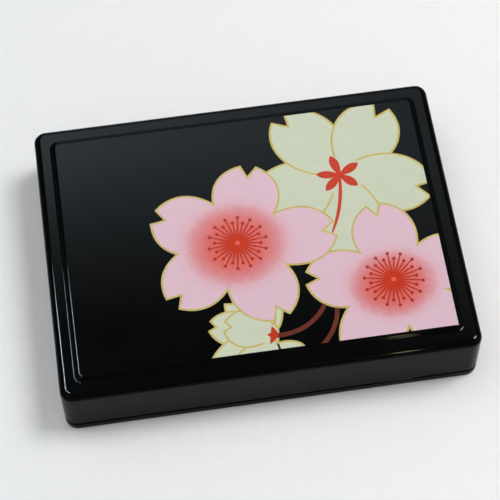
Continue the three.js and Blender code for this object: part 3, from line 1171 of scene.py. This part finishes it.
@dataclass
class Stamens:
    """The red stamens of a pink blossom, long and short ones by turns, round a pale pistil."""

    name: str  # the blossom that they belong to
    centre: Point  # the heart of the blossom
    first_turn: float  # direction of the first long stamen, in degrees
    level: int  # number of paint layers up to their tops
    count: int = 28
    reaches: Point = (11.9, 9.5)  # distance of the long and the short anthers from the heart
    foot_width: float = 0.95  # width of a thread in the heart
    tip_width: float = 0.46  # width of a thread at its anther
    anther_radius: float = 0.76
    heart_radius: float = 2.9  # radius of the field where the threads run together
    pistil_radius: float = 1.0

    def stamen(self, number: int) -> list[Shape]:
        """One stamen: a thread that gets thinner outwards, and a round anther on its end.

        Args:
            number: which stamen it is.

        Returns:
            The plates of the two.
        """
        reach = self.reaches[number % 2]
        turn = self.first_turn + 360 * number / self.count
        thread = bmesh.new()
        strip = bmesh.ops.create_grid(thread, x_segments=1, y_segments=1, size=0.5)["verts"]
        bmesh.ops.translate(thread, verts=strip, vec=(0.5, 0.0, 0.0))
        bmesh.ops.scale(thread, verts=strip, vec=(reach, self.foot_width, 1.0))
        tip = [vert for vert in strip if vert.co.x > reach / 2]
        bmesh.ops.scale(thread, verts=tip, vec=(1.0, self.tip_width / self.foot_width, 1.0))
        angle = math.radians(turn)
        end = (self.centre[0] + reach * math.cos(angle), self.centre[1] + reach * math.sin(angle))
        return [raised(thread, self.centre, turn), disc(end, self.anther_radius, sides=12)]

    def build(self, picture: Picture, red: Paint) -> Piece:
        """Builds all of the stamens as one layer.

        Args:
            picture: the picture that they belong to.
            red: the red paint.

        Returns:
            The layer.
        """
        plates = [plate for number in range(self.count) for plate in self.stamen(number)]
        whole = joined([disc(self.centre, self.heart_radius), *plates])
        whole = combine(whole, [disc(self.centre, self.pistil_radius)], Join.DIFFERENCE)
        return picture.lay(whole, self.level, f"{self.name}_red_stamens", f"{self.name}_stamens", red)


@dataclass
class PinkBlossom:
    """A pink blossom, with a red blush round its stamens."""

    blossom: OpenBlossom  # its petals, whose hub has the heart for its centre
    blush: Point  # middle of the blush on the panel
    blush_reach: Point  # how far it reaches along X and along Y
    first_turn: float  # direction of its first long stamen, in degrees

    def build(self, picture: Picture, gold: Paint) -> list[Piece]:
        """Builds its petals and stamens.

        Args:
            picture: the picture that they belong to.
            gold: the gold paint.

        Returns:
            The three layers as pieces.
        """
        name, heart, height = self.blossom.name, self.blossom.hub[0], picture.panel_height
        pink = BlushPaint(f"{name}_pink_lacquer_paint", self.blush, self.blush_reach, heart, height)
        petals = self.blossom.build(picture, gold, Paint("pink_paint", pink.make()))
        stamens = Stamens(name, heart, self.first_turn, self.blossom.level + 2)
        threads = ThreadPaint(f"{name}_stamen_lacquer_paint", heart, stamens.reaches[0], height)
        return [*petals, stamens.build(picture, Paint("red_paint", threads.make()))]


@dataclass
class PaleCalyx:
    """The red calyx and stem on the back of the pale blossom."""

    centre: Point = (40.8, 21.7)
    sepals: list[Leaf] = field(default_factory=lambda: [
        Leaf(104.3, 10.1, 2.0),
        Leaf(29.0, 9.7, 2.0),
        Leaf(-42.5, 9.1, 2.0),
        Leaf(-136.0, 9.8, 1.9),
        Leaf(171.3, 10.0, 1.85),
    ])
    hub_radius: float = 1.95
    stem: Stroke = Stroke((40.5, 20.5), (39.4, 6.2), (33.1, -5.0), (1.1, 1.45, 0.7))
    level: int = 3  # number of paint layers up to its top

    def build(self, picture: Picture, red: Paint) -> Piece:
        """Builds the calyx with its stem as one layer.

        Args:
            picture: the picture that they belong to.
            red: the red paint.

        Returns:
            The layer.
        """
        leaves = [leaf.plate(self.centre) for leaf in self.sepals]
        whole = joined([disc(self.centre, self.hub_radius), *leaves, self.stem.plate()])
        return picture.lay(whole, self.level, "pale_blossom_red_calyx", "pale_blossom_calyx", red)


@dataclass
class Bud(Flower):
    """The pale bud, seen from the side: petals behind, one in front, and its red calyx."""

    centre: Point = (2.75, -47.65)  # the foot of its petals
    form: PetalForm = PetalForm(2.2, 2.7, 1.05, 1.4)
    # The petals behind, from the one on top to the one at the bottom.
    back_petals: list[Petal] = field(default_factory=lambda: [
        Petal(234.0, 27.0, 10.0, (-0.5, -1.5)),
        Petal(218.0, 36.0, 10.5, (1.5, 3.5)),
        Petal(166.0, 27.0, 8.0, (1.0, 1.0)),
        Petal(134.0, 25.0, 6.5, (1.0, 0.0)),
        Petal(96.0, 20.5, 4.5, (1.5, 2.5)),
        Petal(-13.0, 13.8, 3.6, (-3.3, -5.3)),
    ])
    front_petal: Petal = Petal(166.0, 21.0, 8.5, (1.0, 1.5))
    # Middle and radius of the round field at its foot, where no gold line shows.
    hub: tuple[Point, float] = ((-0.2, -46.6), 4.4)
    calyx_radius: float = 1.5
    sepals: list[Leaf] = field(default_factory=lambda: [
        Leaf(turn, length, 1.2, (0.0, 1.9), (0.5, 0.9))
        for turn, length in ((101.0, 4.1), (171.0, 3.3), (236.0, 4.5))
    ])

    def build(self, picture: Picture, gold: Paint, pale: Paint, red: Paint) -> list[Piece]:
        """Builds the five layers of the bud.

        Args:
            picture: the picture that they belong to.
            gold: the gold paint.
            pale: the pale paint.
            red: the red paint.

        Returns:
            The layers as pieces.
        """
        half = picture.line / 2
        ground = joined(self.plates(self.back_petals, half))
        fields = joined([
            self.painted(petal, self.back_petals[:i], half) for i, petal in enumerate(self.back_petals)
        ])
        leaves = [leaf.plate(self.centre) for leaf in self.sepals]
        calyx = joined([disc(self.centre, self.calyx_radius, sides=24), *leaves])
        front_ground = self.plates([self.front_petal], half)[0]
        front_field = joined([self.painted(self.front_petal, [], half), disc(*self.hub)])
        return [
            picture.lay(ground, 1, "bud_gold_line", "bud_outline", gold),
            picture.lay(fields, 2, "bud_painted_petals", "bud_petals", pale),
            picture.lay(front_ground, 3, "bud_front_gold_line", "bud_front_outline", gold),
            picture.lay(front_field, 4, "bud_front_painted_petal", "bud_front_petal", pale),
            picture.lay(calyx, 5, "bud_red_calyx", "bud_calyx", red),
        ]


# The studio.


@dataclass
class Studio:
    """Table, camera, lamps and room."""

    camera_place: tuple[float, float, float] = (-43.998, -339.793, 655.450)
    # The camera's turn about X, Y and Z, in degrees.
    camera_turn: tuple[float, float, float] = (28.1482, 0.53177, -8.2769)
    lens: float = 124.486
    table_half: float = 4000.0

    def build(self) -> None:
        """Builds everything round the box."""
        bpy.context.scene.view_settings.view_transform = "Standard"
        self.place_camera()
        self.lay_table()
        self.hang_lamps()
        self.light_room()

    def place_camera(self) -> None:
        """Places the camera at the photograph's viewpoint."""
        data = bpy.data.cameras.new("camera")
        data.lens = self.lens
        data.sensor_width = 36.0
        data.sensor_fit = "HORIZONTAL"
        data.clip_start = 0.01
        data.clip_end = 50.0
        camera = bpy.data.objects.new("camera", data)
        camera.location = Vector(self.camera_place) * MM
        camera.rotation_euler = [math.radians(angle) for angle in self.camera_turn]
        bpy.context.scene.collection.objects.link(camera)
        bpy.context.scene.camera = camera

    def lay_table(self) -> None:
        """Lays a wide, plain, pale table under the box."""
        bm = bmesh.new()
        bmesh.ops.create_grid(bm, x_segments=1, y_segments=1, size=self.table_half)
        bmesh.ops.scale(bm, verts=bm.verts, vec=(MM, MM, MM))
        table = bpy.data.objects.new("table", mesh_from(bm, "table"))
        table.data.materials.append(WhiteBoard().make())
        bpy.context.scene.collection.objects.link(table)

    def hang_lamps(self) -> None:
        """Hangs two soft lamps that light the table, and four that only show in polished lacquer.

        Their places and sizes are in metres.
        """
        for name, direction, spread, strength in (
            ("key", (0.56, 0.11, 1.0), 24.0, 1.5),
            ("overhead", (-0.25, 0.18, 1.0), 48.0, 0.78),
            ("spark", (0.42, 0.18, 1.0), 13.0, 9.0),
        ):
            data = bpy.data.lights.new(name, "SUN")
            data.energy = strength
            data.angle = math.radians(spread)
            lamp = bpy.data.objects.new(name, data)
            lamp.rotation_euler = Vector(direction).to_track_quat("Z", "Y").to_euler()
            lamp.visible_diffuse = name != "spark"
            lamp.visible_glossy = name == "spark"
            bpy.context.scene.collection.objects.link(lamp)

        for name, place, turn, sizes, power, colour in (
            ("tube", (-0.4125, 0.6275, 1.5), (0.0, 0.0, -40.3), (0.53, 0.1), 58.0, "#e4eeff"),
            ("lantern", (0.222, -0.976, 0.795), (50.0, 0.0, 0.0), (0.026, 0.05), 1.7, "#ffe0ae"),
            ("lantern_shade", (0.17, -0.99, 0.79), (50.0, 0.0, 0.0), (0.14, 0.07), 0.3, "#ffc27a"),
        ):
            data = bpy.data.lights.new(name, "AREA")
            data.shape = "RECTANGLE"
            data.size, data.size_y = sizes
            data.energy = power
            data.color = linear(colour)[:3]
            lamp = bpy.data.objects.new(name, data)
            lamp.location = place
            lamp.rotation_euler = [math.radians(angle) for angle in turn]
            lamp.visible_diffuse = False
            bpy.context.scene.collection.objects.link(lamp)

    def light_room(self) -> None:
        """Makes the room: even light from all round, a pale wall, and what the lacquer mirrors."""
        world = bpy.data.worlds.new("room")
        bpy.context.scene.world = world
        world.use_nodes = True
        tree = world.node_tree
        tree.nodes.clear()
        seen, fill, wall = (
            add_node(tree, "Background", {"Strength": strength, "Color": linear(colour)}).outputs[0]
            for strength, colour in ((self.mirrored(tree), "#f4f5ff"), (0.31, "#fbfcff"), (0.84, "#fbfcfd"))
        )
        path = add_node(tree, "LightPath").outputs
        lit = add_node(tree, "MixShader", {0: path["Is Glossy Ray"], 1: fill, 2: seen}).outputs[0]
        room = add_node(tree, "MixShader", {0: path["Is Camera Ray"], 1: lit, 2: wall}).outputs[0]
        add_node(tree, "OutputWorld", {"Surface": room})

    def mirrored(self, tree: Tree) -> Socket:
        """Draws the brightness of the room that the lacquer mirrors.

        Args:
            tree: the world's node tree.

        Returns:
            The brightness in each direction.
        """
        view = add_node(tree, "TexCoord").outputs["Generated"]
        x, y, z = add_node(tree, "SeparateXYZ", {"Vector": view}).outputs
        aside = add_node(tree, "Math", {0: x}, operation="ABSOLUTE").outputs[0]
        arc = add_node(tree, "Math", {0: z}, operation="ARCSINE").outputs[0]
        above = add_node(tree, "Math", {0: arc}, operation="DEGREES").outputs[0]

        # The bright far side: its upper edge and how soft that is, then what dims it low down, on the
        # left, on the right, from the left to the right, and in front.
        rise, bend, *dims = shares(
            tree,
            (above, 65.2, 58.2),
            (x, -0.1, 0.25, 2.6, 0.75),
            (above, 38.0, 52.0, 0.12, 1.0),
            (x, -0.16, -0.06),
            (x, 0.2, 0.45, 1.0, 0.1),
            (x, -0.1, 0.25, 3.73, 0.95),
            (y, 0.1, 0.4),
        )
        soft = add_node(tree, "Math", {0: rise, 1: bend}, operation="POWER").outputs[0]
        glow = product(tree, [soft, *dims])

        # Two dim windows low at the front left and front right, for the panel to mirror from behind.
        edges = shares(tree, (y, 0.0, -0.35), (aside, 0.3, 0.65), (above, 6.0, 26.0), (above, 62.0, 40.0))
        window = product(tree, edges)

        # The dim walls, which are a little lighter at the foot.
        total = shares(tree, (above, 2.0, 8.0, 0.07, 0.012))[0]
        for light, strength in ((glow, 3.5), (window, 1.3)):
            terms = {0: light, 1: strength, 2: total}
            total = add_node(tree, "Math", terms, operation="MULTIPLY_ADD").outputs[0]
        return total


def main() -> None:
    """Builds the box piece by piece, and sets it in its studio."""
    logging.basicConfig(level=logging.INFO, format="%(name)s: %(message)s")
    Studio().build()

    polished = PolishedLacquer().make()
    satin = SatinLacquer().make()
    gold = Paint("gold_paint", FlatPaint("gold_lacquer_paint", "#ccbb6b", "#baa755", 0.3, 0.4).make())
    pale = Paint("pale_paint", FlatPaint("pale_lacquer_paint", "#ccd3bb", "#c9cfb6").make())
    red = Paint("red_paint", FlatPaint("red_lacquer_paint", "#c93c1e", "#be3418").make())
    brown = Paint("brown_paint", FlatPaint("brown_lacquer_paint", "#6b3022", "#5b281b").make())

    lid = Lid()
    lid.build(polished, satin)
    Base().build(polished, satin)

    picture = Picture(lid.panel_half, lid.panel_height)
    pale_petals = [
        Petal(-87.5, 54.5, 14.0, (1.0, 0.0)),
        Petal(-19.0, 39.0, 14.0, (-0.5, 0.0)),
        Petal(55.0, 36.5, 14.0, (2.0, 0.5)),
        Petal(128.5, 39.0, 14.0, (2.5, 0.5)),
        Petal(210.0, 42.5, 15.5, (-2.0, 4.0)),
    ]
    pale_blossom = OpenBlossom(
        (41.0, 22.3), PetalForm(3.7, 6.3, 1.13, 1.38), "pale_blossom", pale_petals,
        level=1, hub=((41.4, 21.5), 9.3), lapped=True,
    )
    pale_blossom.build(picture, gold, pale)
    PaleCalyx().build(picture, red)
    Bud().build(picture, gold, pale, red)
    for side, stroke in (
        ("left", Stroke((3.6, -48.0), (17.2, -48.6), (24.9, -36.8), (2.0, 1.9, 1.85))),
        ("right", Stroke((29.3, -39.0), (28.6, -48.4), (19.9, -55.6), (1.8, 1.85, 1.9))),
    ):
        picture.lay(stroke.plate(), 3, f"{side}_brown_twig", f"{side}_twig", brown)

    right_petals = [
        Petal(12.0, 33.0, 13.0, (1.0, 2.0)),
        Petal(99.0, 38.0, 13.5, (2.5, -1.0)),
        Petal(171.5, 38.5, 13.5, (2.0, 1.0)),
        Petal(236.5, 45.5, 13.5, (3.0, 5.0)),
        Petal(307.5, 45.5, 14.0, (0.0, 0.0)),
    ]
    right_blossom = OpenBlossom(
        (55.3, -31.2), PetalForm(3.0, 5.3, 0.87, 1.54), "right_blossom", right_petals,
        level=4, hub=((54.15, -30.05), 9.0), lapped=False,
    )
    PinkBlossom(right_blossom, (53.55, -32.1), (17.9, 14.8), 15.2).build(picture, gold)

    left_petals = [
        Petal(4.0, 40.5, 14.0, (0.0, -2.0)),
        Petal(78.0, 36.5, 14.5, (1.5, -0.5)),
        Petal(156.0, 39.0, 14.5, (2.5, 1.0)),
        Petal(223.0, 39.5, 14.0, (-1.0, 3.0)),
        Petal(291.5, 40.5, 14.5, (-2.0, 1.5)),
    ]
    left_blossom = OpenBlossom(
        (-5.9, -4.0), PetalForm(3.4, 5.3, 0.86, 1.51), "left_blossom", left_petals,
        level=6, hub=((-6.15, -4.15), 9.0), lapped=False,
    )
    PinkBlossom(left_blossom, (-7.1, -4.8), (20.8, 18.7), 5.3).build(picture, gold)


if __name__ == "__main__":
    main()
